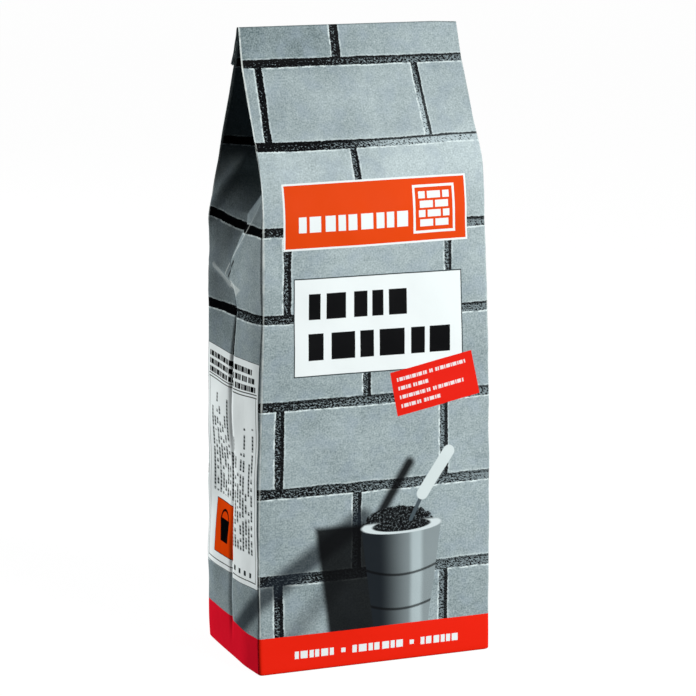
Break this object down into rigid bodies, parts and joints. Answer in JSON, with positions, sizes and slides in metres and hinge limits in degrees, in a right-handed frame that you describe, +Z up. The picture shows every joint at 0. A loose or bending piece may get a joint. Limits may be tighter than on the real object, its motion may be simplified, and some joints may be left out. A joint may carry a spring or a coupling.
{
  "type": "cement bag",
  "caption": "Small upright paper bag of cement with a flat block bottom, side gussets and its top strip folded over to the back.",
  "frame": {"origin": "centre of the bag's flat bottom, at the level it stands on", "axes": "+Z up, -Y out of the front panel, +X to the right as seen from the front"},
  "size_m": [0.0992, 0.0612, 0.248],
  "materials": {
    "printed_paper": "satin"
  },
  "bodies": {
    "root": {"paper_bag": "printed_paper"}
  },
  "joints": []
}
